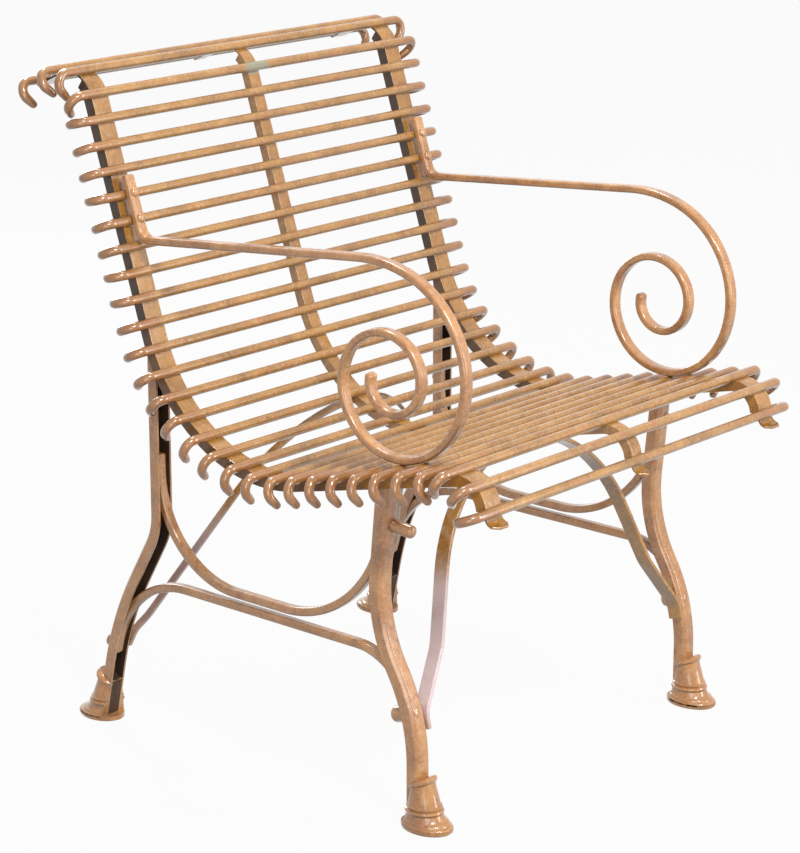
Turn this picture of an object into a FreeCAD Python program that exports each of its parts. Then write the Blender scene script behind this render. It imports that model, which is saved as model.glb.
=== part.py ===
"""Garden armchair of forged bar iron, in millimetres, +Z up, facing -Y.

Three bent channel rails carry a bed of hooked round rods that is both seat and
back.  Flat bar arms end in scrolls, bent channel legs stand in cast hoof feet,
and curved bars brace the legs to each other and to the middle rail.
"""

import FreeCAD
import Part
import math
import os

Vector = FreeCAD.Vector
X_AXIS = Vector(1, 0, 0)

# Clearances
seat_gap = 0.05          # between faces that lie on each other
scroll_gap = 0.15        # between a scroll and the rods under it, past the arm's gap
rod_gap = 0.08           # under a rod's flat, so that it also clears a rail that bends up

# Rails, along the outer face of the web, from the front tip to the tail behind the head
rail_spread = 250.0      # side rails from the middle plane
rail_width = 26.0
rail_depth = 14.0
middle_rail_width = 18.0
middle_rail_depth = 12.0
rail_wall = 3.0
tip_y = -364.5
tip_z = 371.5
tip_length = 8.0
tip_radius = 8.0
tip_turn = 80.0
tip_stem = 5.0
tip_corner = 7.0         # cut off the tip's corners
front_radius = 37.5
front_turn = 99.0
seat_length = 235.0
seat_slope = 13.0        # degrees, rising to the front
bend_radius = 187.0
bend_turn = 85.0
back_length = 279.0
head_radius = 39.0
head_turn = 97.0
head_bare_turn = 60.0    # last part of the head roll, where the rail is its bare web
tail_overhang = 8.0      # past the last rod

# Rods, counted from the front
rod_diameter = 11.0
rod_sides = 8
rod_sink = 2.5           # depth of the flat that a rod has where it crosses a rail
seat_pitch = 31.7
seat_rods = 16
back_pitch = 29.6
back_rods = 13
head_pitch = 34.2
head_rods = 3
hook_start = 280.0       # end of a rod's straight part, from the middle plane
hook_radius = 12.0
hook_turn = 132.0
hook_steps = 3
hook_tail = 14.0
# Degrees by which hooks in the two rolls lean aside, so that their tips pass each other
hook_lean = {0: -21.0, 2: 29.0, 28: -29.0, 29: -21.0}

# Arms
arm_spread = 250.0       # at the back
arm_toe_in = 9.0         # at the scroll, towards the middle plane
arm_width = 14.0
arm_thickness = 9.0
arm_rod = 24             # the upper of the two rods that carry the arm's rear end
arm_overhang = 21.0      # past that rod, upward
arm_fall = 42.0          # past that rod, downward, before the bend
arm_elbow_radius = 16.0
arm_rise = 4.8           # degrees, rising to the front
arm_crest_radius = 165.0
arm_crest_turn = 24.9
scroll_rod = 4           # the scroll rests on this rod and the next
scroll_shrink = 0.896    # radius of each eighth turn over that of the one before
scroll_eighths = 14

# Legs, along the middle of their depth, from the floor up
leg_width = 22.0
leg_depth = 17.0
leg_wall = 3.0
leg_edge = 4.0
front_leg_spread = 248.0
front_leg_y = -244.5
front_shank = 70.9
front_low_radius = 199.7
front_low_turn = 31.3
front_high_radius = 172.6
front_high_turn = 36.7
rear_leg_spread = 251.0
rear_leg_y = 249.0
rear_splay = 12.0        # degrees off upright
rear_shank = 70.1
rear_low_radius = 396.5
rear_low_turn = 18.1
rear_straight = 61.9
rear_high_radius = 76.4

# Side braces: a sling under each side rail and a stretcher below it
brace_spread = 249.5
brace_width = 12.0
brace_thickness = 10.0
brace_lap = 22.0         # length that lies on the inside of a leg's web
sling_low = 202.0
sling_rear_radius = 121.0
sling_front_radius = 150.0
stretcher_high = 197.0
stretcher_rear = 107.0
stretcher_front = 140.0

# Cross braces: arches from leg to leg that carry the middle rail
cross_width = 19.0
cross_thickness = 5.0
front_cross_low = 108.0
front_cross_lap = 10.0
front_toe_radius = 30.0
front_toe_turn = 34.0
front_toe_run = 60.0
front_knee_radius = 60.0
front_knee_turn = 14.0
rear_cross_low = 97.0
rear_cross_lap = 16.0
rear_toe_radius = 24.0
rear_toe_turn = 42.0
rear_toe_run = 1.0
rear_knee_radius = 55.0
rear_knee_turn = 20.0

# Feet: rings of (height, reach past the web, half width)
sole_width = 48.0
sole_thickness = 4.0
foot_rings = [(9.0, 0.88, 22.0), (20.0, 0.5, 17.6), (24.0, 0.52, 18.6), (28.0, 0.34, 16.4)]
collar_height = 62.0
collar_reach = 8.0
collar_lip = 4.0
collar_reach_inside = 3.0
collar_side = 4.0        # past a leg's sides below the lip
collar_lip_side = 1.5    # lip past that
foot_sides = 12
front_toe = 38.0         # sole past the web's face
front_heel = 13.0        # sole past the flanges' edges
rear_toe = 33.0
rear_heel = 14.0

# Rivets
rivet_radius = 5.5
rivet_height = 3.5
rivet_sides = 8
rivet_dome = [(1.0, 0.0), (0.8, 0.6), (0.4, 1.0)]


class Path:
    """Straight runs and tangent arcs in a plane, walked from (y, z) at a heading."""

    def __init__(self, y, z, heading):
        self.end = (y, z, heading)
        self.steps = []

    def add(self, length, radius, side):
        self.steps.append((self.end, length, radius, side))
        self.end = along(self.steps[-1], length)
        return self

    def line(self, length):
        return self.add(length, None, 1.0)

    def arc(self, radius, turn):
        return self.add(radius * math.radians(abs(turn)), radius, math.copysign(1.0, turn))

    def length(self):
        return sum(step[1] for step in self.steps)

    def at(self, distance):
        """Place and heading at a distance along the path, or past its end."""
        for step in self.steps[:-1]:
            if distance < step[1]:
                return along(step, distance)
            distance -= step[1]
        return along(self.steps[-1], distance)

    def where(self, reached):
        """Place and heading at the first point for which a test of (y, z, heading) holds."""
        near = 0.0
        far = 0.0
        while not reached(*self.at(far)):
            near = far
            far += 5.0
        while far - near > 0.0001:
            middle = (near + far) / 2
            if reached(*self.at(middle)):
                far = middle
            else:
                near = middle
        return self.at(far)


def along(step, distance):
    """Place and heading at a distance along one step of a path."""
    (y, z, heading), length, radius, side = step
    angle = math.radians(heading)
    if radius is None:
        return y + distance * math.cos(angle), z + distance * math.sin(angle), heading
    swept = angle + side * distance / radius
    y += side * radius * (math.sin(swept) - math.sin(angle))
    z -= side * radius * (math.cos(swept) - math.cos(angle))
    return y, z, math.degrees(swept)


def beside(y, z, heading, left):
    """The point at a distance to the left of a place and heading."""
    angle = math.radians(heading)
    return y - left * math.sin(angle), z + left * math.cos(angle)


def solve(first, second, target):
    """The factors with which two plane vectors add up to a target."""
    cross = first[0] * second[1] - first[1] * second[0]
    one = (target[0] * second[1] - target[1] * second[0]) / cross
    two = (first[0] * target[1] - first[1] * target[0]) / cross
    return one, two


def sweep(path, outline):
    """A bar along a path, with an outline of (across, left) points as its section."""
    pieces = []
    for (y, z, heading), length, radius, side in path.steps:
        ring = []
        for across, left in outline:
            ring.append(Vector(across, *beside(y, z, heading, left)))
        face = Part.Face(Part.makePolygon(ring + ring[:1]))
        if radius is None:
            pieces.append(face.extrude(Vector(0, *beside(0.0, 0.0, heading - 90.0, length))))
        else:
            centre = Vector(0, *beside(y, z, heading, side * radius))
            turn = math.degrees(length / radius)
            pieces.append(face.revolve(centre, X_AXIS * side, turn))
    if len(pieces) == 1:
        return pieces[0]
    return pieces[0].fuse(pieces[1:]).removeSplitter()


def flat_bar(path, width, low, high):
    """A plain bar that fills the room between two distances to the left of a path."""
    half = width / 2
    return sweep(path, [(-half, low), (half, low), (half, high), (-half, high)])


def channel(width, wall, edge, face, lip):
    """A channel section from its web's outer face to the lips of its flanges."""
    half = width / 2
    inner = half - wall
    inward = math.copysign(1.0, lip - face)
    floor = face + inward * wall
    web = [(-half, face), (half, face)]
    if edge:
        corner = face + inward * edge
        web = [(-half, corner), (edge - half, face), (half - edge, face), (half, corner)]
    inside = [(half, lip), (inner, lip), (inner, floor), (-inner, floor), (-inner, lip)]
    return [(-half, lip)] + web + inside


def faceted(rings):
    """A solid with flat facets between rings of as many points, closed at both ends."""
    faces = []
    for ring in (rings[0], rings[-1]):
        faces.append(Part.Face(Part.makePolygon(ring + ring[:1])))
    for near, far in zip(rings, rings[1:]):
        for side in range(len(near)):
            faces.append(triangle(near[side - 1], near[side], far[side]))
            faces.append(triangle(near[side - 1], far[side], far[side - 1]))
    return Part.makeSolid(Part.makeShell(faces)).removeSplitter()


def triangle(first, second, third):
    return Part.Face(Part.makePolygon([first, second, third, first]))


def largest(shape):
    return max(shape.Solids, key=lambda solid: solid.Volume)


def both_sides(nodes, name, shape, spread):
    """One node at each side; the second is the mirror image of the first."""
    right = shape.copy()
    right.translate(Vector(-spread, 0, 0))
    nodes[name + "_right"] = right
    nodes[name + "_left"] = right.mirror(Vector(), X_AXIS)


# Rails

rod_lift = rod_diameter / 2 - rod_sink
tip_heading = front_turn - tip_turn - seat_slope


def tip_path():
    path = Path(tip_y, tip_z, tip_heading)
    return path.line(tip_length).arc(tip_radius, tip_turn).line(tip_stem)


def flanged_path(lift):
    """The part of the bed's line along which the rails have flanges."""
    y, z, heading = tip_path().end
    path = Path(*beside(y, z, heading, lift), heading)
    path.arc(front_radius + lift, -front_turn).line(seat_length)
    path.arc(bend_radius - lift, bend_turn).line(back_length)
    return path.arc(head_radius + lift, head_bare_turn - head_turn)


def rolled_path(lift):
    return flanged_path(lift).arc(head_radius + lift, -head_bare_turn)


def tail_length():
    return rod_distances()[-1] + tail_overhang - rolled_path(rod_lift).length()


def bed_path(lift):
    """The line of the seat, back and rolls at a distance above the rails' webs."""
    return rolled_path(lift).line(tail_length())


def rail(width, depth):
    """A channel under the whole bed, whose web runs on bare at the front tip and the head."""
    body = sweep(flanged_path(0.0), channel(width, rail_wall, 0.0, 0.0, -depth))
    bare = Path(*flanged_path(0.0).end).arc(head_radius, -head_bare_turn).line(tail_length())
    tail = flat_bar(bare, width, -rail_wall, 0.0)
    path = tip_path()
    tip = flat_bar(path, width, -rail_wall, 0.0)
    half = width / 2
    flat = half - tip_corner
    low = tip_z - 2 * rail_wall
    back = path.end[0] + 2 * rail_wall
    plan = [(flat, tip_y), (half, tip_y + tip_corner), (half, back),
            (-half, back), (-half, tip_y + tip_corner), (-flat, tip_y)]
    ring = []
    for x, y in plan:
        ring.append(Vector(x, y, low))
    rounded = Part.Face(Part.makePolygon(ring + ring[:1]))
    tip = tip.common(rounded.extrude(Vector(0, 0, path.end[1] + rail_wall - low)))
    return body.fuse([tip, tail]).removeSplitter()


# Rods

def hook_line():
    """The middle line of one rod in its own plane, as (x, z) points from tip to tip."""
    step = math.radians(hook_turn / hook_steps)
    chord = hook_radius / math.cos(step / 2)
    points = [(hook_start, 0.0)]
    for index in range(hook_steps):
        angle = (index + 0.5) * step
        across = hook_start + chord * math.sin(angle)
        points.append((across, -hook_radius + chord * math.cos(angle)))
    end = math.radians(hook_turn)
    across = hook_start + hook_radius * math.sin(end) + hook_tail * math.cos(end)
    points.append((across, -hook_radius * (1 - math.cos(end)) - hook_tail * math.sin(end)))
    mirrored = []
    for x, z in points:
        mirrored.insert(0, (-x, z))
    return mirrored + points


def rod_blank():
    """A rod with hooked ends and mitred facets, before it is flattened on the rails."""
    line = hook_line()
    normals = []
    for (x0, z0), (x1, z1) in zip(line, line[1:]):
        length = math.hypot(x1 - x0, z1 - z0)
        normals.append(((z0 - z1) / length, (x1 - x0) / length))
    corner = rod_diameter / 2 / math.cos(math.pi / rod_sides)
    rings = []
    for index, (x, z) in enumerate(line):
        before = normals[max(index - 1, 0)]
        after = normals[min(index, len(normals) - 1)]
        share = 1 + before[0] * after[0] + before[1] * after[1]
        ring = []
        for side in range(rod_sides):
            angle = (side + 0.5) * 2 * math.pi / rod_sides
            out = corner * math.cos(angle) / share
            across = corner * math.sin(angle)
            slant = Vector(before[0] + after[0], 0, before[1] + after[1]) * out
            ring.append(Vector(x, across, z) + slant)
        rings.append(ring)
    return faceted(rings)


def rod(blank, lean):
    """A rod turned by its hooks' lean and flattened where it crosses the three rails."""
    bar = blank.copy()
    bar.rotate(Vector(), X_AXIS, lean)
    top = rod_gap - rod_lift
    for x, width in ((-rail_spread, rail_width), (0.0, middle_rail_width),
                     (rail_spread, rail_width)):
        flat = Part.makeBox(width + 2 * seat_gap, rod_diameter * 2, rod_diameter)
        flat.translate(Vector(x - width / 2 - seat_gap, -rod_diameter, top - rod_diameter))
        bar = bar.cut(flat)
    return bar


def rod_distances():
    """Distances of the rods' middle lines along the bed, from the front."""
    distances = [0.0]
    for count, pitch in ((seat_rods - 1, seat_pitch), (back_rods, back_pitch),
                         (head_rods, head_pitch)):
        for index in range(count):
            distances.append(distances[-1] + pitch)
    return distances


def add_rods(nodes):
    names = []
    for zone, count in (("seat", seat_rods), ("back", back_rods), ("head", head_rods)):
        for index in range(count):
            names.append("%s_rod_%02d" % (zone, index + 1))
    blank = rod_blank()
    straight = rod(blank, 0.0)
    line = bed_path(rod_lift)
    for index, distance in enumerate(rod_distances()):
        bar = rod(blank, hook_lean[index]) if index in hook_lean else straight.copy()
        y, z, heading = line.at(distance)
        bar.rotate(Vector(), X_AXIS, heading)
        bar.translate(Vector(0, y, z))
        nodes[names[index]] = bar


# Arms

def arm_path():
    """The middle line of an arm, from its rear end down the back, forward and round."""
    stand_off = arm_stand_off()
    line = bed_path(rod_lift)
    distances = rod_distances()
    y, z, heading = line.at(distances[arm_rod] + arm_overhang)
    path = Path(*beside(y, z, heading, stand_off), heading - 180.0)
    path.line(arm_overhang + arm_fall)
    path.arc(arm_elbow_radius, 180.0 - arm_rise - path.end[2] - 360.0)
    rest_y, rest_z, rest_heading = line.at(distances[scroll_rod] + seat_pitch / 2)
    crest = Path(0.0, 0.0, path.end[2]).arc(arm_crest_radius, arm_crest_turn)
    unit = scroll(Path(0.0, 0.0, crest.end[2]), 1.0)
    low = unit.where(lambda y, z, heading: heading >= rest_heading)
    low_share = scroll_shrink ** int((rest_heading - crest.end[2]) / 45.0)
    forward = beside(0.0, 0.0, path.end[2] - 90.0, 1.0)
    height = stand_off
    for attempt in range(4):
        rest = beside(rest_y, rest_z, rest_heading, height)
        start = (rest[0] - path.end[0] - crest.end[0], rest[1] - path.end[1] - crest.end[1])
        reach, radius = solve(forward, low[:2], start)
        apart = radius * low_share + stand_off + scroll_gap
        height = math.sqrt(apart ** 2 - (seat_pitch / 2) ** 2) - radius * low_share
    path.line(reach).arc(arm_crest_radius, arm_crest_turn)
    return scroll(path, radius)


def arm_stand_off():
    """From a rod's middle line to the arm's, with room for the arm's turn."""
    tilt = arm_width / 2 * math.tan(math.radians(arm_turn()))
    return rod_diameter / 2 + seat_gap + tilt + arm_thickness / 2


def arm_turn():
    """Degrees by which an arm turns about the upright, so that its scroll toes in."""
    line = bed_path(rod_lift)
    distances = rod_distances()
    rear = line.at(distances[arm_rod])
    front = line.at(distances[scroll_rod] + seat_pitch / 2)
    return math.degrees(math.atan(arm_toe_in / (rear[0] - front[0])))


def place_arm(shape):
    """Turn a shape made in the middle plane into the right arm's place."""
    rear = bed_path(rod_lift).at(rod_distances()[arm_rod])
    shape.rotate(Vector(0, rear[0], 0), Vector(0, 0, 1), arm_turn())
    return shape


def scroll(path, radius):
    for index in range(scroll_eighths):
        path.arc(radius * scroll_shrink ** index, 45.0)
    return path


def arm():
    half = arm_thickness / 2
    return place_arm(flat_bar(arm_path(), arm_width, -half, half))


# Legs

def front_leg_path(length):
    path = Path(front_leg_y, 0.0, 90.0).line(front_shank)
    path.arc(front_low_radius, -front_low_turn).arc(front_high_radius, front_high_turn)
    return path.line(length) if length else path


def rear_leg_path(length):
    path = Path(rear_leg_y, 0.0, 90.0 + rear_splay)
    path.line(rear_shank).arc(rear_low_radius, rear_low_turn).line(rear_straight)
    path.arc(rear_high_radius, 90.0 - path.end[2])
    return path.line(length) if length else path


def whole_front_leg_path():
    """Up to the side rail, with some to spare."""
    y, z, heading = front_leg_path(0.0).end
    top = bed_path(0.0).where(lambda bed_y, bed_z, bed_heading: bed_y >= y - leg_depth)
    return front_leg_path(top[1] - z)


def whole_rear_leg_path():
    y, z, heading = rear_leg_path(0.0).end
    back = bed_path(-rail_depth)
    top = back.where(lambda bed_y, bed_z, bed_heading: bed_y >= y + leg_depth)
    return rear_leg_path(top[1] - z)


def leg(path, face):
    """A channel leg, coped to the back of the side rail and cut level above the sole."""
    bar = sweep(path, channel(leg_width, leg_wall, leg_edge, face, -face))
    rail_body = flat_bar(bed_path(0.0), 2 * leg_width, -rail_depth - seat_gap, rod_lift)
    reach = 2 * sole_width
    below = Part.makeBox(
        reach, reach, reach,
        Vector(-reach / 2, path.at(0.0)[0] - reach / 2, sole_thickness + seat_gap - reach))
    return largest(bar.cut([rail_body, below]))


# Side braces

def inside_web(side):
    """How far left of a leg's path a brace on the inside of its web has its middle."""
    return side * (leg_depth / 2 - leg_wall - seat_gap - brace_thickness / 2)


def sling_path():
    """Down from the rear leg, forward under the rail and up behind the front leg's web."""
    rear_y, rear_z, rear_heading = rear_leg_path(0.0).end
    rear_y -= inside_web(-1.0)
    low = sling_low + brace_thickness / 2
    path = Path(rear_y, low + sling_rear_radius + brace_lap, -90.0)
    path.line(brace_lap).arc(sling_rear_radius, -90.0)
    lean = front_leg_path(0.0).end[2]
    rise = sling_front_radius * (1 + math.cos(math.radians(lean)))
    leg_line = whole_front_leg_path()
    y, z, heading = leg_line.where(lambda y, z, heading: z >= low + rise)
    end_y, end_z = beside(y, z, heading, inside_web(1.0))
    start_y = end_y + sling_front_radius * math.sin(math.radians(lean))
    path.line(path.end[0] - start_y).arc(sling_front_radius, lean - 180.0)
    return path.line(brace_lap)


def stretcher_path():
    level = stretcher_high - brace_thickness / 2
    rear = rear_leg_path(0.0)
    y, z, heading = rear.where(lambda y, z, heading: z >= stretcher_rear)
    left = inside_web(-1.0)
    lap = math.degrees(brace_lap / rear_low_radius)
    centre_y, centre_z = beside(y, z, heading, rear_low_radius)
    path = Path(*beside(centre_y, centre_z, heading - lap, left - rear_low_radius), heading - lap)
    path.arc(rear_low_radius - left, lap)
    path.arc((level - path.end[1]) / (1 + math.cos(math.radians(heading))), 180.0 - heading)
    front = front_leg_path(0.0)
    y, z, heading = front.where(lambda y, z, heading: z >= stretcher_front)
    end_y, end_z = beside(y, z, heading, inside_web(1.0))
    radius = (level - end_z) / (1 - math.cos(math.radians(heading)))
    start_y = end_y + radius * math.sin(math.radians(heading))
    path.line(path.end[0] - start_y).arc(radius, heading)
    lap_radius = front_low_radius + inside_web(1.0)
    return path.arc(lap_radius, math.degrees(brace_lap / lap_radius))


def side_brace(path):
    half = brace_thickness / 2
    return flat_bar(path, brace_width, -half, half)


# Cross braces

def arch(path, rise):
    """A line that starts at the left leg, taken up to a height in the middle and down again."""
    start = list(path.steps)
    x, z, heading = path.end
    angle = math.radians(heading)
    line = (math.cos(angle), math.sin(angle))
    bow = (-math.sin(angle), math.cos(angle) + 1)
    length, radius = solve(line, bow, (-x, rise - z))
    path.line(length).arc(radius, 2 * (180.0 - heading)).line(length)
    for corner, length, radius, side in reversed(start):
        path.add(length, radius, side)
    return path


def cross_brace(path, foot, top):
    """An arch whose plane rises from a foot point to a point under the middle rail."""
    up = Vector(0, top[0] - foot[0], top[1] - foot[1])
    rise = up.Length - cross_thickness / 2 - seat_gap
    up.normalize()
    half = cross_thickness / 2
    bar = flat_bar(arch(path, rise), cross_width, -half, half)
    across = X_AXIS.cross(up)
    matrix = FreeCAD.Matrix(
        across.x, 1, up.x, 0,
        across.y, 0, up.y, foot[0],
        across.z, 0, up.z, foot[1],
        0, 0, 0, 1)
    bar.transformShape(matrix)
    return bar


def inside_flange(spread):
    """How far from the middle plane a cross brace has its middle on a leg's inner flange."""
    return spread - leg_width / 2 - seat_gap - cross_thickness / 2


def front_cross_brace():
    """Square to the middle rail's underside on the straight part of the seat."""
    path = Path(inside_flange(front_leg_spread), 0.0, 90.0).line(front_cross_lap)
    path.arc(front_toe_radius, front_toe_turn).line(front_toe_run)
    path.arc(front_knee_radius, -front_knee_turn)
    foot = front_leg_path(0.0).where(lambda y, z, heading: z >= front_cross_low)
    seat = bed_path(-middle_rail_depth).steps[1]
    (y, z, heading) = seat[0]
    angle = math.radians(heading)
    ahead = (foot[0] - y) * math.cos(angle) + (foot[1] - z) * math.sin(angle)
    return cross_brace(path, foot[:2], along(seat, ahead)[:2])


def rear_cross_brace():
    """Square to the middle rail's underside, towards the centre of its bend."""
    path = Path(inside_flange(rear_leg_spread), 0.0, 90.0).line(rear_cross_lap)
    path.arc(rear_toe_radius, rear_toe_turn).line(rear_toe_run)
    path.arc(rear_knee_radius, -rear_knee_turn)
    foot = rear_leg_path(0.0).where(lambda y, z, heading: z >= rear_cross_low)
    bend = bed_path(0.0).steps[2]
    centre = beside(*bend[0], bend_radius)
    away = Vector(0, foot[0] - centre[0], foot[1] - centre[1])
    away.normalize()
    away *= bend_radius + middle_rail_depth
    return cross_brace(path, foot[:2], (centre[0] + away.y, centre[1] + away.z))


# Feet

def oval(z, near, far, half_width):
    """A closed ring of points between two Y values."""
    middle = (near + far) / 2
    half = abs(far - near) / 2
    ring = []
    for side in range(foot_sides):
        angle = 2 * math.pi * (side + 0.5) / foot_sides
        ring.append(Vector(half_width * math.cos(angle), middle + half * math.sin(angle), z))
    return ring


def foot(path, face, toe, heel):
    """A cast hoof that wraps a leg's web and flanges; face is the web's side of the path."""
    out = -math.copysign(1.0, face)
    base_y = path.at(0.0)[0]
    depth = leg_depth / 2

    def ring(z, reach, half_width, inner):
        y = path.at(z)[0]
        return oval(z, y + out * (depth + reach), y - out * (depth + inner), half_width)
    rings = [ring(sole_thickness, toe, sole_width / 2, heel)]
    for z, share, half_width in foot_rings:
        rings.append(ring(z, toe * share, half_width, heel * share))
    side = leg_width / 2 + collar_side
    inside = collar_reach_inside
    rings.append(ring(collar_height - 2 * collar_lip, collar_reach, side, inside))
    rings.append(ring(collar_height, collar_reach + collar_lip, side + collar_lip_side, inside))
    shell = faceted(rings)
    room = leg_width / 2 + seat_gap
    open_side = -math.copysign(collar_height, face)
    web = face + math.copysign(seat_gap, face)
    lip = -face
    slot = sweep(path, [
        (-sole_width, open_side), (sole_width, open_side), (sole_width, lip), (room, lip),
        (room, web), (-room, web), (-room, lip), (-sole_width, lip)])
    sole_ring = oval(0.0, base_y + out * (depth + toe), base_y - out * (depth + heel),
                     sole_width / 2)
    sole = Part.Face(Part.makePolygon(sole_ring + sole_ring[:1]))
    sole = sole.extrude(Vector(0, 0, sole_thickness))
    return sole.fuse(largest(shell.cut(slot))).removeSplitter()


# Rivets

def rivet(x, y, z, angle):
    """A domed head on a face whose outward normal leans by an angle in the side view."""
    rings = []
    for share, height in rivet_dome:
        ring = []
        for side in range(rivet_sides):
            turn = 2 * math.pi * side / rivet_sides
            across = Vector(math.cos(turn), math.sin(turn), 0) * rivet_radius * share
            ring.append(across + Vector(0, 0, rivet_height * height))
        rings.append(ring)
    head = faceted(rings)
    head.rotate(Vector(), X_AXIS, angle)
    head.translate(Vector(x, y, z))
    return head


def arm_heads():
    """Heads on the arms' faces over the two rods that carry each arm."""
    line = bed_path(rod_lift)
    distances = rod_distances()
    face = arm_stand_off() + arm_thickness / 2 + seat_gap
    heads = []
    for index in (arm_rod, arm_rod - 1):
        y, z, heading = line.at(distances[index])
        head = place_arm(rivet(0.0, *beside(y, z, heading, face), heading))
        head.translate(Vector(-arm_spread, 0, 0))
        heads += [head, head.mirror(Vector(), X_AXIS)]
    return heads


def lap_heads():
    """Heads on the legs' faces over the laps of the slings and stretchers."""
    face = brace_thickness / 2 + seat_gap + leg_wall + seat_gap
    heads = []
    for path, side in ((sling_path(), 1.0), (stretcher_path(), -1.0)):
        for distance in (brace_lap / 2, path.length() - brace_lap / 2):
            y, z, heading = path.at(distance)
            angle = heading if side > 0 else heading + 180.0
            for x in (-brace_spread, brace_spread):
                heads.append(rivet(x, *beside(y, z, heading, side * face), angle))
    return heads


def build():
    nodes = {}
    both_sides(nodes, "side_rail", rail(rail_width, rail_depth), rail_spread)
    nodes["middle_rail"] = rail(middle_rail_width, middle_rail_depth)
    add_rods(nodes)
    both_sides(nodes, "arm", arm(), arm_spread)
    front_path = whole_front_leg_path()
    rear_path = whole_rear_leg_path()
    both_sides(nodes, "front_leg", leg(front_path, leg_depth / 2), front_leg_spread)
    both_sides(nodes, "rear_leg", leg(rear_path, -leg_depth / 2), rear_leg_spread)
    both_sides(nodes, "side_sling", side_brace(sling_path()), brace_spread)
    both_sides(nodes, "side_stretcher", side_brace(stretcher_path()), brace_spread)
    nodes["front_cross_brace"] = front_cross_brace()
    nodes["rear_cross_brace"] = rear_cross_brace()
    front_foot = foot(front_leg_path(0.0), leg_depth / 2, front_toe, front_heel)
    both_sides(nodes, "front_foot", front_foot, front_leg_spread)
    rear_foot = foot(rear_leg_path(0.0), -leg_depth / 2, rear_toe, rear_heel)
    both_sides(nodes, "rear_foot", rear_foot, rear_leg_spread)
    nodes["rivets"] = Part.makeCompound(arm_heads() + lap_heads())
    return nodes


def main():
    nodes = build()
    bounds = Part.makeCompound(list(nodes.values())).optimalBoundingBox(False)
    os.makedirs("parts", exist_ok=True)
    for name, shape in nodes.items():
        shape.translate(Vector(0, -(bounds.YMin + bounds.YMax) / 2, 0))
        shape.exportStep("parts/%s.step" % name)


main()
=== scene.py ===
"""Garden armchair of forged bar iron under old ochre enamel, in metres, +Z up, facing -Y."""

import bmesh
import bpy
import math
from mathutils import Matrix, Vector
from mathutils.bvhtree import BVHTree


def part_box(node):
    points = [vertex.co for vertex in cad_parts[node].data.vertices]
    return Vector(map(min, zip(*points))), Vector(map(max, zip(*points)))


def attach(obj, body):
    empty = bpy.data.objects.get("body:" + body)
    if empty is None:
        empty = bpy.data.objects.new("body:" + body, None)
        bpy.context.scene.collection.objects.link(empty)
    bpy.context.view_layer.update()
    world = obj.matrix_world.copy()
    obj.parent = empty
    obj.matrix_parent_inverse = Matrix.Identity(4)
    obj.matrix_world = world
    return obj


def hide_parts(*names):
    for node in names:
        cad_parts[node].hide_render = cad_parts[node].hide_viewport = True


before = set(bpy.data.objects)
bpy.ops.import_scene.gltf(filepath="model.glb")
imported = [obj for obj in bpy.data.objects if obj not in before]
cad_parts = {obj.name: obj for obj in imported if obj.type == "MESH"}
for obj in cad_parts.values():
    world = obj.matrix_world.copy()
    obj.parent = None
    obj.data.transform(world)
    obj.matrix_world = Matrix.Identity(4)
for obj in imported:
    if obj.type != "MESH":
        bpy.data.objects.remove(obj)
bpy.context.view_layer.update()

MM = 0.001

# Rods: the part's sizes, with a rounder section and drawn-out tips
rod_radius = 5.5 * MM
rod_sides = 24
hook_start = 280.0 * MM    # from the chair's middle to where a rod begins to turn down
hook_radius = 12.0 * MM
hook_turn = math.radians(132.0)
hook_steps = 12
# Past the hook: mm beyond the ring before, and share of the rod's radius
rod_tip = [(4.0, 0.95), (5.4, 0.86), (1.6, 0.8), (1.5, 0.68), (1.0, 0.46), (0.5, 0.2)]

# Softened edges, as a width and the steps across it: crisp on hot-rolled channel, and
# nearly round on bar that was dressed by hammer and then painted
channel_edge = (1.1 * MM, 2)
arm_edge = (3.4 * MM, 5)
brace_edge = (2.8 * MM, 4)
arch_edge = (1.2 * MM, 3)
arch_share = 0.42          # of the rear arch's width that its drawn-down bar keeps
sharp_angle = math.radians(32.0)
flat_angle = math.radians(0.6)
merge_distance = 0.005 * MM
level_digits = 4           # corners whose heights round alike, to 0.1 mm, are level

# A bar's materials, in the order of its slots
inside_slot = 1
flank_slot = 2

# Looks from a channel's faces, which tell its inside from its outside
look_start = 0.1 * MM      # off the face
look_reach = 24.0 * MM
look_tilt = math.radians(62.0)
web_turn = 0.1             # a normal with less than this along X belongs to a web,
flank_turn = 0.9           # and one with more than this to a flank

# Rivets and bolts
head_sides = 20
dome_share = 0.62          # a dome's height over its radius, at most
dome_steps = 7
dome_step = 14.0           # degrees up the dome
rivet_radius = 5.6 * MM
rivet_height = 3.4 * MM
rivet_base = 2.0 * rivet_radius ** 2   # a head's flat base is larger, its facets smaller
lap_depth = 13.2 * MM      # from a head on a leg's web to the inner face of the brace
flush_height = 1.0 * MM    # of the front heads that a nut holds from inside
nut_radius = 9.5 * MM
nut_height = 22.0 * MM
stub_radius = 7.4 * MM
stub_height = 30.0 * MM
stub_shift = 5.0 * MM      # inward from the middle of the leg
stub_drop = 16.0 * MM      # of the stub below its lap's middle
heel_radius = 8.5 * MM
heel_height = 8.0 * MM
brace_zone = 0.2           # laps below this height are the stretchers'
arm_zone = 0.4             # and heads above this one are the arms'

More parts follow.
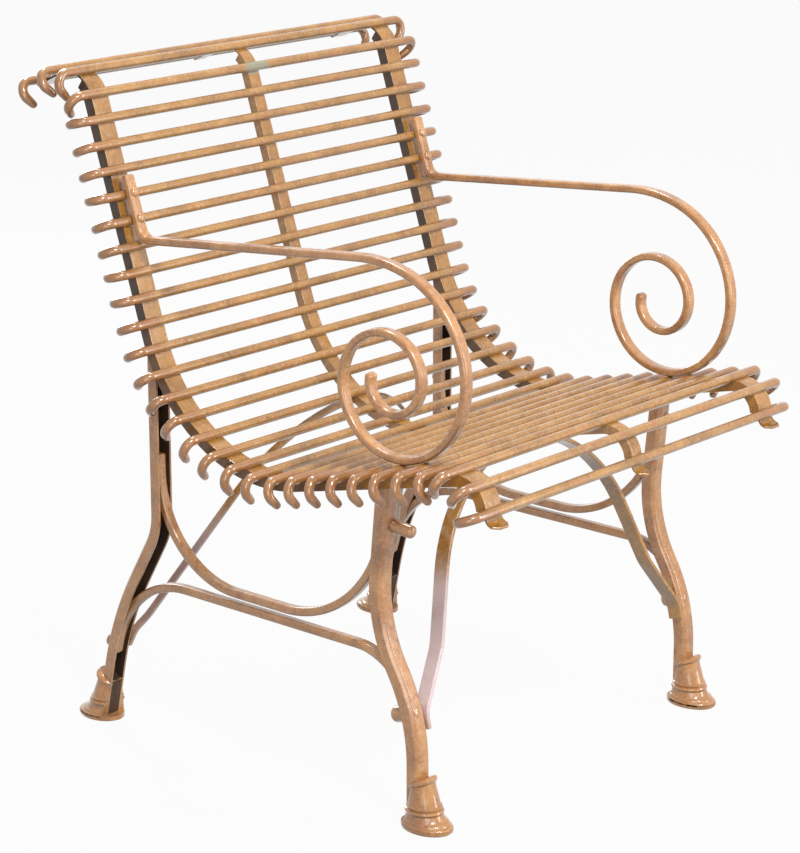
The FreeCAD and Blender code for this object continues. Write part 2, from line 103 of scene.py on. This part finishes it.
# A hoof's rings: height in mm, share of the way from the cuff's spread to the sole's, and
# swell in mm
hoof_sides = 40
hoof_rings = [
    (0.0, 0.94, 0.0), (1.2, 0.99, 0.0), (3.4, 1.0, 0.0), (5.6, 0.985, 0.0), (7.0, 0.93, 0.0),
    (8.0, 0.82, 0.0), (9.2, 0.77, 0.4), (10.6, 0.72, 0.4), (11.6, 0.62, 0.0), (15.0, 0.5, 0.0),
    (18.6, 0.42, 0.0), (19.6, 0.4, 1.3), (21.4, 0.38, 2.1), (23.2, 0.37, 1.3), (24.2, 0.35, -0.3),
    (25.4, 0.34, 0.7), (27.0, 0.33, 0.8), (28.2, 0.31, -0.4), (38.0, 0.2, -0.9),
    (48.0, 0.08, -1.2), (54.0, 0.02, -0.8), (55.6, 0.0, 0.8), (57.6, 0.0, 1.5), (60.2, 0.0, 1.1),
    (61.6, 0.0, -0.2), (62.0, 0.0, -1.6)]
sole_rings = 3             # the sole has these and one more, and the upper skin the rest
                           # from the last of these on
cuff_start = 44.0          # mm up, where the rings begin to slant
cuff_top = hoof_rings[-1][0]
cuff_slant = 0.5           # fall from the toe's side to the heel's, at the top ring
foot_corners = 10.0 * MM   # a leg's lowest corners are below this height,
ankle_corners = (60.0 * MM, 75.0 * MM)   # and its next ones between these
hoof_set_back = 0.6 * MM   # of the casting behind the edges of the leg's flanges
channel_half = 8.0 * MM    # half the width of the channel between the flanges, dark with grime and painted shade,
channel_depth = 13.0 * MM  # and its depth behind its open side
cut_turn = 0.999           # a normal with more than this across the cut is the cut face's,
lip_rise = 0.7             # and one that rises more than this is the lip's

# Marks in the enamel, as the sockets of their noise: each scale is one over a mark's size
tone_clouds = {"Scale": 1.0 / (42.0 * MM), "Detail": 4.0, "Roughness": 0.6, "Distortion": 0.4}
rust_mottle = {"Scale": 1.0 / (3.2 * MM), "Detail": 3.0, "Roughness": 0.55}
enamel_marks = {
    "worn": {"Scale": 1.0 / (9.0 * MM), "Detail": 5.0, "Roughness": 0.62, "Distortion": 0.8},
    "specks": {"Scale": 1.0 / (1.7 * MM), "Detail": 2.0, "Roughness": 0.55},
    "scuff_and_sheen_marks": {"Scale": 1.0 / (5.0 * MM), "Detail": 4.0, "Roughness": 0.7},
    "dents": {"Scale": 1.0 / (12.0 * MM), "Detail": 2.0, "Roughness": 0.55}}
grain_noise = {"Detail": 3.0, "Roughness": 0.6}
dent_depth = 0.5 * MM
# Where each layer goes from none to full: on its marks' noise, on how far up a face looks,
# and on the way from the middle of a stain, painted shade or painted reflection to its edge
speck_window = (0.64, 0.72)
scuff_and_sheen_window = (0.48, 0.72)
underside_shade_window = (0.1, -0.7)
stain_and_painted_light_window = (1.0, 0.6)
gloss_window = (0.3, 0.7)  # and where gloss goes from whole enamel's to worn enamel's
# Pale scuff marks, partly real wear and partly a painted sheen that stands in for highlights
scuff_and_sheen_colour = "DEB898"
# Painted shade: faces that look down are darkened towards this colour, up to this share
underside_painted_shade = "4E3C1C"
underside_shade_share = 0.55
enamel_ior = 1.5
coat_roughness = 0.08
# The sockets of a colour Mix node that have its share, its two colours and its result
mix_share, mix_under, mix_over, mix_result = 0, 6, 7, 2

# The studio, in metres and watts
floor_reach = 8.0
floor_drop = 0.2 * MM      # below the soles
floor_white = 0.95         # share of white on the seen floor; the rest shows the shadow
soft_strength = 0.2        # of the pale world, for rays that don't see the backdrop
chair_middle = (0.0, 0.0, 0.4)
under_seat = (0.0, 0.0, 0.25)
# Soft lamps: name, place, what it faces, width and height, and power
lamps = [
    ("key", (-0.9, -1.9, 2.4), chair_middle, (0.6, 0.6), 61.0),
    ("fill", (-2.1, -1.7, 0.8), under_seat, (1.3, 1.3), 20.0),
    ("top", (0.4, 0.7, 2.6), chair_middle, (0.6, 0.6), 31.0),
    ("back", (1.2, 2.6, 1.5), chair_middle, (0.8, 1.4), 26.0),
    ("strip", (1.3, -2.3, 1.1), chair_middle, (0.4, 1.9), 32.0)]
# The camera's place and lens, worked out from the photograph
camera_place = (-2.4583, -2.1282, 1.2992)
camera_fall = 16.121       # degrees below the level
camera_turn = -48.862      # degrees round from the front
lens_length = 129.29
sensor_width = 36.0


def srgb(code):
    """An sRGB hex value as linear red, green, blue and alpha, by the standard curve."""
    linear = []
    for start in (0, 2, 4):
        value = int(code[start:start + 2], 16) / 255.0
        linear.append(value / 12.92 if value <= 0.04045 else ((value + 0.055) / 1.055) ** 2.4)
    return (*linear, 1.0)


# Materials

def join(tree, node, links):
    """Sets a node's sockets, or joins them to other nodes' sockets."""
    for name, value in links.items():
        if isinstance(value, bpy.types.NodeSocket):
            tree.links.new(value, node.inputs[name])
        else:
            node.inputs[name].default_value = value


def add(tree, kind, settings=None, links=None):
    """A node with its settings, and its sockets set or joined to other nodes' sockets."""
    node = tree.nodes.new(kind)
    for name, value in (settings or {}).items():
        setattr(node, name, value)
    join(tree, node, links or {})
    return node


def mottled(tree, place, marks, stops):
    """Colour that drifts through (place on the marks' noise, hex colour) stops."""
    drift = add(tree, "ShaderNodeTexNoise", None, {"Vector": place, **marks})
    colour = add(tree, "ShaderNodeValToRGB", None, {"Fac": drift.outputs["Fac"]})
    elements = colour.color_ramp.elements
    for element, (stop, code) in zip(elements, (stops[0], stops[-1])):
        element.position = stop
        element.color = srgb(code)
    for stop, code in stops[1:-1]:
        elements.new(stop).color = srgb(code)
    return colour.outputs["Color"]


def layered(tree, under, over, factor, window, share=1.0):
    """One colour over another, from none to a share as a factor crosses a window."""
    cover = add(tree, "ShaderNodeMapRange", {"interpolation_type": "SMOOTHSTEP"}, {
        "Value": factor, "From Min": window[0], "From Max": window[1], "To Max": share})
    both = add(tree, "ShaderNodeMix", {"data_type": "RGBA"}, {
        mix_share: cover.outputs["Result"], mix_under: under, mix_over: over})
    return both.outputs[mix_result]


def add_stains_and_painted_light(tree, place, colour, stains_and_painted_light):
    """Stain, painted shade and painted reflection at places on the chair: (middle, half sizes in
    mm, hex colour, strength).
    """
    for middle, half, code, strength in stains_and_painted_light:
        shift = add(tree, "ShaderNodeMapping", {"vector_type": "TEXTURE"}, {
            "Vector": place, "Location": [value * MM for value in middle],
            "Scale": [value * MM for value in half]})
        far = add(tree, "ShaderNodeVectorMath", {"operation": "LENGTH"}, {
            0: shift.outputs["Vector"]})
        colour = layered(
            tree, colour, srgb(code), far.outputs["Value"], stain_and_painted_light_window, strength)
    return colour


def enamel(name, tones, patches, patch_window, specks, rough, grain, coat, stains_and_painted_light=(),
           scuff_and_sheen_share=0.3):
    """Brushed oil enamel, from its colour outwards.

    Clouds of tone, patches worn to rust, specks, pale scuff marks that are partly a painted
    sheen, painted shade where a face looks down, and stain, painted shade and painted
    reflection at given places; rough is its roughness from whole to worn, and grain the
    size and height in mm of the brush's marks, which lie over shallow dents.
    """
    material = bpy.data.materials.new(name)
    material.use_nodes = True
    tree = material.node_tree
    place = add(tree, "ShaderNodeTexCoord").outputs["Object"]
    grain_marks = {"Scale": 1.0 / (grain[0] * MM), **grain_noise}
    marks = {
        mark: add(tree, "ShaderNodeTexNoise", None, {"Vector": place, **sockets}).outputs["Fac"]
        for mark, sockets in {**enamel_marks, "grain": grain_marks}.items()}
    facing = add(tree, "ShaderNodeSeparateXYZ", None, {
        "Vector": add(tree, "ShaderNodeNewGeometry").outputs["Normal"]})
    colour = mottled(tree, place, tone_clouds, tones)
    rust = mottled(tree, place, rust_mottle, patches)
    colour = layered(tree, colour, rust, marks["worn"], patch_window)
    colour = layered(tree, colour, srgb(specks), marks["specks"], speck_window)
    # Pale scuff marks, partly real wear and partly painted sheen
    colour = layered(
        tree, colour, srgb(scuff_and_sheen_colour), marks["scuff_and_sheen_marks"], scuff_and_sheen_window, scuff_and_sheen_share)
    # Painted shade: darker where a face looks down
    colour = layered(
        tree, colour, srgb(underside_painted_shade), facing.outputs["Z"], underside_shade_window, underside_shade_share)
    # Real stain, painted shade and painted reflection at their places
    colour = add_stains_and_painted_light(tree, place, colour, stains_and_painted_light)
    gloss = add(tree, "ShaderNodeMapRange", None, {
        "Value": marks["worn"], "From Min": gloss_window[0], "From Max": gloss_window[1],
        "To Min": rough[0], "To Max": rough[1]})
    fine = add(tree, "ShaderNodeBump", None, {
        "Strength": 1.0, "Distance": grain[1] * MM, "Height": marks["grain"]})
    dents = add(tree, "ShaderNodeBump", None, {
        "Strength": 1.0, "Distance": dent_depth, "Height": marks["dents"],
        "Normal": fine.outputs["Normal"]})
    join(tree, tree.nodes["Principled BSDF"], {
        "Base Color": colour, "Roughness": gloss.outputs["Result"],
        "Normal": dents.outputs["Normal"], "IOR": enamel_ior, "Coat Weight": coat,
        "Coat Roughness": coat_roughness})
    return material


# A knock at the top of the back bared the grey-green zinc under the paint
zinc_knock = ((0.0, 246.0, 759.0), (24.0, 18.0, 11.0), "868C78", 0.85)
# Painted reflection on the two arches: a pale pinkish sheen at the front, and greyer and fainter
# at the rear
front_arch_painted_reflection = ((-185.0, -200.0, 170.0), (90.0, 90.0, 115.0), "D6C2C6", 0.85)
rear_arch_painted_reflection = ((-150.0, 240.0, 190.0), (150.0, 120.0, 170.0), "A8949A", 0.7)
# The hooks at both ends of the rods are a redder brown
hook_wear = [((end, 0.0, 400.0), (62.0, 900.0, 900.0), "96603E", 0.5)
             for end in (-300.0, 300.0)]
# Painted shade on the outer flanks, which hang in the rods' shade, most of all at the back
seat_flank_painted_shade = ((0.0, 60.0, 300.0), (900.0, 330.0, 220.0), "3A2414", 0.75)
back_flank_painted_shade = ((0.0, 260.0, 640.0), (900.0, 330.0, 270.0), "2A1A10", 0.92)

# Old oil enamel brushed on forged bar: semi-gloss, golden brown with redder worn patches
ochre_tones = [(0.3, "885A1E"), (0.5, "A3712A"), (0.72, "B48038")]
ochre_patches = [(0.35, "8C4C26"), (0.65, "B46C3E")]
bar_enamel = enamel(
    "brushed_ochre_enamel_on_bar", tones=ochre_tones, patches=ochre_patches,
    patch_window=(0.57, 0.74), specks="4A2A14", rough=(0.24, 0.4), grain=(2.2, 0.09), coat=1.0,
    stains_and_painted_light=[zinc_knock])
# The same enamel on the legs, arms and braces, duller and pinker with handling
brace_enamel = enamel(
    "handled_ochre_enamel_on_bar", tones=[(0.3, "946236"), (0.5, "B47E4A"), (0.72, "CA965E")],
    patches=[(0.35, "8A4C2C"), (0.65, "AE6A40")], patch_window=(0.55, 0.72), specks="4A2A18",
    rough=(0.24, 0.4), grain=(2.2, 0.09), coat=1.0)
# The same enamel with a pale painted reflection on the arches
arch_enamel = enamel(
    "brushed_ochre_enamel_with_painted_reflection", tones=ochre_tones, patches=ochre_patches,
    patch_window=(0.57, 0.74), specks="4A2A14", rough=(0.24, 0.4), grain=(2.2, 0.09), coat=1.0,
    stains_and_painted_light=[front_arch_painted_reflection, rear_arch_painted_reflection])
# The same enamel, dull and darkened nearly to black by painted shade, on the outer flanks of the
# side rails
flank_painted_shade_enamel = enamel(
    "ochre_enamel_under_painted_shade", tones=[(0.3, "8A5A1C"), (0.5, "A67028"), (0.72, "B48034")],
    patches=[(0.35, "7C421C"), (0.65, "9C5A28")], patch_window=(0.57, 0.74), specks="3A2010",
    rough=(0.3, 0.46), grain=(2.2, 0.16), coat=0.2, stains_and_painted_light=[seat_flank_painted_shade, back_flank_painted_shade],
    scuff_and_sheen_share=0.1)
# The same enamel on round rod, worn through to red lead where people sit and lean
rod_enamel = enamel(
    "worn_ochre_enamel_on_rod", tones=[(0.3, "8A602A"), (0.5, "A57638"), (0.72, "B78848")],
    patches=[(0.35, "984E2C"), (0.65, "BC6E40")], patch_window=(0.54, 0.72), specks="54301A",
    rough=(0.22, 0.38), grain=(1.8, 0.1), coat=1.0, stains_and_painted_light=[zinc_knock, *hook_wear])
# The same enamel over a sand casting, with the coarser grain of the mould
casting_enamel = enamel(
    "ochre_enamel_on_sand_casting", tones=[(0.3, "94623A"), (0.5, "B27C48"), (0.72, "C69258")],
    patches=[(0.35, "824622"), (0.65, "A8622E")], patch_window=(0.58, 0.76), specks="3E2412",
    rough=(0.24, 0.4), grain=(1.6, 0.2), coat=0.8)
# Inside the channels the brush never reached: scale and old primer, with painted shade that makes
# them nearly black
channel_grime_and_shade = enamel(
    "scale_primer_and_painted_shade_in_channel", tones=[(0.3, "22140C"), (0.5, "321E10"), (0.72, "4A2E18")],
    patches=[(0.35, "1C110B"), (0.65, "54321A")], patch_window=(0.5, 0.66), specks="120B07",
    rough=(0.55, 0.8), grain=(2.6, 0.25), coat=0.0, scuff_and_sheen_share=0.0)


# Shaping

def finish(name, shape, materials, nodes):
    """An object for a finished bmesh, riding on the frame in the place of some nodes."""
    mesh = bpy.data.meshes.new(name)
    shape.to_mesh(mesh)
    shape.free()
    piece = bpy.data.objects.new(name, mesh)
    bpy.context.scene.collection.objects.link(piece)
    for material in materials:
        mesh.materials.append(material)
    mesh.shade_smooth()
    mesh.set_sharp_from_angle(angle=sharp_angle)
    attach(piece, "root")
    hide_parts(*nodes)
    return piece


def merged(node):
    """A copy of a node's mesh with its loose triangles joined and flat faces made whole."""
    shape = bmesh.new()
    shape.from_mesh(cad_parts[node].data)
    bmesh.ops.remove_doubles(shape, verts=shape.verts, dist=merge_distance)
    bmesh.ops.dissolve_limit(
        shape, angle_limit=flat_angle, use_dissolve_boundaries=False,
        verts=shape.verts, edges=shape.edges, delimit={"NORMAL"})
    return shape


def joined(shapes):
    """One bmesh that holds several, which are freed."""
    whole = bmesh.new()
    for shape in shapes:
        mesh = bpy.data.meshes.new("part")
        shape.to_mesh(mesh)
        shape.free()
        whole.from_mesh(mesh)
        bpy.data.meshes.remove(mesh)
    return whole


def grow(shape, edges):
    """Extrudes an open ring of edges; gives the new ring's vertices and edges."""
    made = bmesh.ops.extrude_edge_only(shape, edges=edges)["geom"]
    return ([part for part in made if isinstance(part, bmesh.types.BMVert)],
            [part for part in made if isinstance(part, bmesh.types.BMEdge)])


def lofted(sides, stations):
    """A closed skin over unit circles, each put in its place by a matrix."""
    shape = bmesh.new()
    bmesh.ops.create_circle(shape, cap_ends=True, radius=1.0, segments=sides)
    edges = list(shape.edges)
    bmesh.ops.transform(shape, verts=shape.verts, matrix=stations[0])
    for before, after in zip(stations, stations[1:]):
        verts, edges = grow(shape, edges)
        bmesh.ops.transform(shape, verts=verts, matrix=after @ before.inverted())
    bmesh.ops.contextual_create(shape, geom=edges)
    bmesh.ops.recalc_face_normals(shape, faces=shape.faces)
    return shape


# Rails, legs, arms and braces

def mark_inside(shape):
    """The channel's grime and painted shade on faces that look across a channel at its own
    flanges.
    """
    tree = BVHTree.FromBMesh(shape)
    for face in shape.faces:
        start = face.calc_center_median() + face.normal * look_start
        looks = [face.normal]
        if abs(face.normal.x) < web_turn:
            for side in (-1.0, 1.0):
                across = Vector((side, 0, 0)) * math.sin(look_tilt)
                looks.append(face.normal * math.cos(look_tilt) + across)
        for look in looks:
            if tree.ray_cast(start, look, look_reach)[0] is not None:
                face.material_index = inside_slot


def mark_flanks(shape):
    """Painted shade on a side rail's outer flanks, which hang in the rods' shade."""
    for face in shape.faces:
        if abs(face.normal.x) > flank_turn and face.material_index != inside_slot:
            face.material_index = flank_slot


def soften(shape, width, steps):
    """Rounds a piece's sharp edges."""
    edges = [edge for edge in shape.edges
             if len(edge.link_faces) == 2 and edge.calc_face_angle() > sharp_angle]
    bmesh.ops.bevel(
        shape, geom=edges, offset=width, offset_type="OFFSET", segments=steps, profile=0.5,
        affect="EDGES", clamp_overlap=True, material=-1)


def narrow(shape, share):
    """Draws an arch's bar down across its plane, which holds X and the way from foot to top."""
    foot = min(shape.verts, key=lambda vertex: (
        round(vertex.co.z, level_digits), vertex.co.x)).co
    top = max(shape.verts, key=lambda vertex: vertex.co.z).co
    rise = Vector((0, top.y - foot.y, top.z - foot.z))
    across = Vector((0, -rise.z, rise.y)).normalized()
    spread = [vertex.co.dot(across) for vertex in shape.verts]
    middle = (min(spread) + max(spread)) / 2
    for vertex, place in zip(shape.verts, spread):
        vertex.co += across * (middle - place) * (1.0 - share)


def weigh_normals(piece):
    """Keeps broad flats flat beside their rounded edges."""
    weigh = piece.modifiers.new("flats", "WEIGHTED_NORMAL")
    weigh.keep_sharp = True


def bar(node, edge):
    """A forged bar or channel: its solid with softened edges, enamelled, with grime and painted
    shade inside its channel and painted shade on a side rail's outer flanks.
    """
    shape = merged(node)
    # Grime and painted shade inside a rail's or leg's channel
    if "rail" in node or "_leg_" in node:
        mark_inside(shape)
    # Painted shade on a side rail's outer flanks
    if "side_rail" in node:
        mark_flanks(shape)
    soften(shape, *edge)
    if node == "rear_cross_brace":
        narrow(shape, arch_share)
    outside = brace_enamel
    if "rail" in node:
        outside = bar_enamel
    elif node.endswith("_cross_brace"):
        outside = arch_enamel
    piece = finish("forged_" + node, shape, [outside, channel_grime_and_shade, flank_painted_shade_enamel],
                   [node])
    weigh_normals(piece)


# Hoof feet

def ring_box(node, low, high):
    """The spread in x and y of a node's corners between two heights."""
    points = [vertex.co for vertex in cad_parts[node].data.vertices
              if low <= vertex.co.z <= high]
    return (min(point.x for point in points), max(point.x for point in points),
            min(point.y for point in points), max(point.y for point in points))


def open_side(leg, toe):
    """A point on the open side of a leg's channel at its foot, and the way that it faces."""
    corners = [vertex.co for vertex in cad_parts[leg].data.vertices]
    foot = min((corner for corner in corners if corner.z < foot_corners),
               key=lambda corner: toe * corner.y)
    ankle = min((corner for corner in corners if ankle_corners[0] < corner.z < ankle_corners[1]),
                key=lambda corner: toe * corner.y)
    rise = ankle - foot
    way = toe * Vector((0, -rise.z, rise.y)).normalized()
    return foot - way * hoof_set_back, way


def hoof_stations(sole, cuff, toe):
    """The places of a hoof's rings, from its spreads at the sole and the cuff."""
    stations = []
    for height, share, swell in hoof_rings:
        near_x, far_x, near_y, far_y = (
            start + (end - start) * share for start, end in zip(cuff, sole))
        middle = ((near_x + far_x) / 2, (near_y + far_y) / 2)
        half = ((far_x - near_x) / 2 + swell * MM, (far_y - near_y) / 2 + swell * MM)
        slant = cuff_slant * max(0.0, (height - cuff_start) / (cuff_top - cuff_start))
        shear = Matrix.Identity(4)
        shear[2][1] = toe * slant
        stations.append(
            Matrix.Translation((*middle, height * MM - slant * half[1])) @ shear
            @ Matrix.Diagonal((*half, 1.0, 1.0)))
    return stations


def on_cut_or_lip(face, way):
    """Whether a face lies on a casting's cut side or looks up from its lip."""
    return abs(face.normal.dot(way)) > cut_turn or face.normal.z > lip_rise


def open_channel(shape, middle, point, way):
    """Cuts a casting at its leg's open side, with grime and painted shade in the channel between
    the flanges.
    """
    made = bmesh.ops.bisect_plane(
        shape, geom=shape.verts[:] + shape.edges[:] + shape.faces[:], plane_co=point,
        plane_no=way, clear_outer=True)
    rim = [part for part in made["geom_cut"] if isinstance(part, bmesh.types.BMEdge)]
    bmesh.ops.contextual_create(shape, geom=rim)
    walls = [(Vector((middle + side * channel_half, 0, 0)), Vector((1, 0, 0)))
             for side in (-1.0, 1.0)]
    for wall, across in walls + [(point - way * channel_depth, way)]:
        faces = [face for face in shape.faces if on_cut_or_lip(face, way)]
        parts = {part for face in faces for part in (face, *face.edges, *face.verts)}
        bmesh.ops.bisect_plane(shape, geom=list(parts), plane_co=wall, plane_no=across)
    for face in shape.faces:
        face.normal_update()
        place = face.calc_center_median()
        between = abs(place.x - middle) < channel_half
        if between and (point - place).dot(way) < channel_depth and on_cut_or_lip(face, way):
            face.material_index = inside_slot
    bmesh.ops.recalc_face_normals(shape, faces=shape.faces)


def hoof(node):
    """A cast hoof: flared sole, two beads round the fetlock and a cuff with a slanted lip."""
    low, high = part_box(node)
    sole = (low.x, high.x, low.y, high.y)
    cuff = ring_box(node, high.z - MM, high.z)
    toe = 1.0 if abs(sole[3] - cuff[3]) > abs(sole[2] - cuff[2]) else -1.0
    stations = hoof_stations(sole, cuff, toe)
    upper = lofted(hoof_sides, stations[sole_rings - 1:])
    point, way = open_side(node.replace("foot", "leg"), toe)
    open_channel(upper, (cuff[0] + cuff[1]) / 2, point, way)
    lower = lofted(hoof_sides, stations[:sole_rings + 1])
    finish("cast_" + node, joined([upper, lower]), [casting_enamel, channel_grime_and_shade],
           [node])


# Rods

def rod_place(node):
    """A rod's middle line and the way its hooks hang, as (y, z) points, from its mesh."""
    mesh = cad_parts[node].data
    station = hook_start / 2
    crossings = []
    for edge in mesh.edges:
        first, second = (mesh.vertices[index].co for index in edge.vertices)
        if (first.x - station) * (second.x - station) < 0:
            crossings.append(first.lerp(second, (station - first.x) / (second.x - first.x)))
    low = Vector((min(point.y for point in crossings), min(point.z for point in crossings)))
    high = Vector((max(point.y for point in crossings), max(point.z for point in crossings)))
    middle = (low + high) / 2
    far = max((vertex.co.yz - middle for vertex in mesh.vertices), key=lambda way: way.length)
    return middle, far.normalized()


def rod_shape():
    """A round rod with hooked and rounded ends, along X with its hooks hanging down."""
    shape = bmesh.new()
    bmesh.ops.create_circle(
        shape, cap_ends=False, radius=rod_radius, segments=rod_sides,
        matrix=Matrix.Rotation(math.radians(90.0), 4, "Y"))
    verts, edges = grow(shape, list(shape.edges))
    bmesh.ops.translate(shape, verts=verts, vec=(hook_start, 0, 0))
    made = bmesh.ops.spin(
        shape, geom=edges, cent=(hook_start, 0, -hook_radius), axis=(0, 1, 0),
        angle=hook_turn, steps=hook_steps, use_merge=False)["geom_last"]
    edges = [part for part in made if isinstance(part, bmesh.types.BMEdge)]
    way = Vector((math.cos(hook_turn), 0, -math.sin(hook_turn)))
    centre = Vector((hook_start + hook_radius * math.sin(hook_turn), 0,
                     -hook_radius * (1 - math.cos(hook_turn))))
    share = 1.0
    for further, radius in rod_tip:
        verts, edges = grow(shape, edges)
        bmesh.ops.translate(shape, verts=verts, vec=way * further * MM)
        centre += way * further * MM
        for vertex in verts:
            vertex.co = centre + (vertex.co - centre) * radius / share
        share = radius
    bmesh.ops.contextual_create(shape, geom=edges)
    bmesh.ops.mirror(
        shape, geom=shape.verts[:] + shape.edges[:] + shape.faces[:], axis="X",
        merge_dist=merge_distance)
    bmesh.ops.recalc_face_normals(shape, faces=shape.faces)
    return shape


def add_rods():
    """Lays a round rod in the place of each of the frame's."""
    pattern = rod_shape()
    for node in sorted(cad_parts):
        if "_rod_" in node:
            middle, down = rod_place(node)
            shape = pattern.copy()
            turn = math.atan2(down.x, -down.y)
            bmesh.ops.rotate(shape, verts=shape.verts, cent=(0, 0, 0),
                             matrix=Matrix.Rotation(turn, 3, "X"))
            bmesh.ops.translate(shape, verts=shape.verts, vec=(0, middle.x, middle.y))
            finish("round_" + node, shape, [rod_enamel], [node])
    pattern.free()


# Rivets and bolts

def head(place, way, radius, height):
    """A domed head on a face at a place, along an outward direction, on a neck if it is tall."""
    dome = min(height, dome_share * radius)
    turn = Matrix.Translation(place) @ way.to_track_quat("Z", "Y").to_matrix().to_4x4()
    stations = [turn @ Matrix.Diagonal((radius, radius, 1.0, 1.0))]
    for step in range(dome_steps):
        angle = math.radians(step * dome_step)
        share = radius * math.cos(angle)
        up = height - dome + dome * math.sin(angle)
        stations.append(turn @ Matrix.Translation((0, 0, up))
                        @ Matrix.Diagonal((share, share, 1.0, 1.0)))
    return lofted(head_sides, stations)


def rivet_places():
    """Where each rivet of the frame sits, and its outward direction, from its flat base."""
    shape = merged("rivets")
    places = []
    for face in shape.faces:
        if face.calc_area() > rivet_base:
            places.append((face.calc_center_median(), -face.normal))
    shape.free()
    return places


def add_rivets():
    """All the heads: rivets, the front stretchers' nuts, one bolt end and the rear heels."""
    heads = []
    for place, way in rivet_places():
        size = (rivet_radius, rivet_height)
        if place.y < 0 and place.z < brace_zone:
            heads.append(head(place - way * lap_depth, -way, nut_radius, nut_height))
            size = (rivet_radius, flush_height)
        elif place.y < 0 and place.x < 0 and place.z < arm_zone:
            place += Vector((0, -way.z, way.y)) * stub_drop + Vector((stub_shift, 0, 0))
            size = (stub_radius, stub_height)
        elif place.z < brace_zone:
            size = (heel_radius, heel_height)
        heads.append(head(place, way, *size))
    finish("domed_rivets", joined(heads), [brace_enamel], ["rivets"])


add_rods()
for name in sorted(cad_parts):
    if "rail" in name or "_leg_" in name:
        bar(name, channel_edge)
    elif name.startswith("arm_"):
        bar(name, arm_edge)
    elif "_sling_" in name or "_stretcher_" in name:
        bar(name, brace_edge)
    elif name.endswith("_cross_brace"):
        bar(name, arch_edge)
    elif "_foot_" in name:
        hoof(name)
add_rivets()


# Floor, light and camera

def seen_rays(tree):
    """1 for rays that see the backdrop: the camera's, and those off gloss or through glass."""
    path = add(tree, "ShaderNodeLightPath").outputs
    seen = add(tree, "ShaderNodeMath", {"operation": "MAXIMUM"}, {
        0: path["Is Camera Ray"], 1: path["Is Glossy Ray"]})
    return add(tree, "ShaderNodeMath", {"operation": "MAXIMUM"}, {
        0: seen.outputs["Value"], 1: path["Is Transmission Ray"]})


def whitened(tree, share, plain, white, output):
    """Ends a tree in an output node with a share of white over a plain shader."""
    both = add(tree, "ShaderNodeMixShader", None, {
        "Fac": share.outputs["Value"], 1: plain.outputs[0], 2: white.outputs[0]})
    add(tree, output, None, {"Surface": both.outputs["Shader"]})


def add_world():
    """A white backdrop for rays that see it, and for the others a dim soft light."""
    world = bpy.data.worlds.new("studio")
    bpy.context.scene.world = world
    world.use_nodes = True
    tree = world.node_tree
    tree.nodes.clear()
    soft = add(tree, "ShaderNodeBackground", None, {
        "Color": srgb("F4F2EE"), "Strength": soft_strength})
    white = add(tree, "ShaderNodeBackground", None, {"Color": srgb("FFFFFF"), "Strength": 1.0})
    whitened(tree, seen_rays(tree), soft, white, "ShaderNodeOutputWorld")


def add_floor():
    """A pale floor that is nearly white where it is seen and keeps a faint shadow."""
    shape = bmesh.new()
    bmesh.ops.create_grid(shape, x_segments=1, y_segments=1, size=floor_reach)
    bmesh.ops.translate(shape, verts=shape.verts, vec=(0, 0, -floor_drop))
    mesh = bpy.data.meshes.new("floor")
    shape.to_mesh(mesh)
    shape.free()
    floor = bpy.data.objects.new("floor", mesh)
    bpy.context.scene.collection.objects.link(floor)
    material = bpy.data.materials.new("pale_studio_floor")
    material.use_nodes = True
    tree = material.node_tree
    tree.nodes.clear()
    share = add(tree, "ShaderNodeMath", {"operation": "MULTIPLY"}, {
        0: seen_rays(tree).outputs["Value"], 1: floor_white})
    matt = add(tree, "ShaderNodeBsdfDiffuse", None, {"Color": srgb("B8B6B2")})
    white = add(tree, "ShaderNodeEmission", None, {"Color": srgb("FFFFFF"), "Strength": 1.0})
    whitened(tree, share, matt, white, "ShaderNodeOutputMaterial")
    mesh.materials.append(material)


def add_lamp(name, place, target, size, power):
    """A soft white lamp that faces its target."""
    lamp = bpy.data.lights.new(name, "AREA")
    lamp.shape = "RECTANGLE"
    lamp.size, lamp.size_y = size
    lamp.energy = power
    holder = bpy.data.objects.new(name, lamp)
    holder.location = place
    way = Vector(target) - Vector(place)
    holder.rotation_euler = way.to_track_quat("-Z", "Y").to_euler()
    bpy.context.scene.collection.objects.link(holder)


def add_camera():
    """At the photograph's angle; the lens suits an image 800 wide and 853 high."""
    lens = bpy.data.cameras.new("photo_view")
    lens.sensor_fit = "HORIZONTAL"
    lens.sensor_width = sensor_width
    lens.lens = lens_length
    camera = bpy.data.objects.new("photo_view", lens)
    camera.location = camera_place
    camera.rotation_euler = (
        math.radians(90.0 - camera_fall), 0.0, math.radians(camera_turn))
    bpy.context.scene.collection.objects.link(camera)
    bpy.context.scene.camera = camera


add_world()
add_floor()
for lamp in lamps:
    add_lamp(*lamp)
add_camera()
bpy.context.scene.view_settings.view_transform = "Standard"
